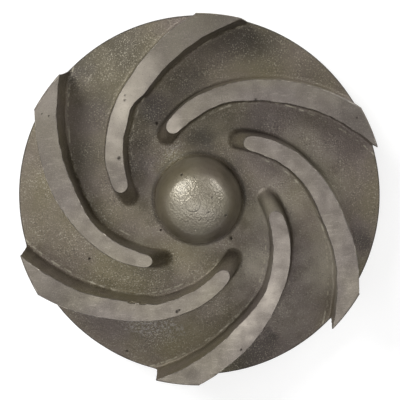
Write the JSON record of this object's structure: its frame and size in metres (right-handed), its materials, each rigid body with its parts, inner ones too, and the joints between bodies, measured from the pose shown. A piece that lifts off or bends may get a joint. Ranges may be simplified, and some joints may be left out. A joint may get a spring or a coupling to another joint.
{
  "type": "semi-open pump impeller",
  "caption": "Semi-open centrifugal pump impeller cast in one piece: a flat shroud carries backward-curved vanes round a domed nose, with a blind threaded hub at the back.",
  "frame": {"origin": "centre of the rear hub's end face, on the axis of rotation", "axes": "+Z along the axis of rotation from the rear hub to the nose, +X and +Y to the right and up in the front view"},
  "size_m": [0.1524, 0.1524, 0.0515],
  "materials": {
    "cast_iron": "sand-cast skin with a machined rim, vane tops and hub"
  },
  "bodies": {
    "root": {"impeller_casting": "cast_iron"}
  },
  "joints": []
}
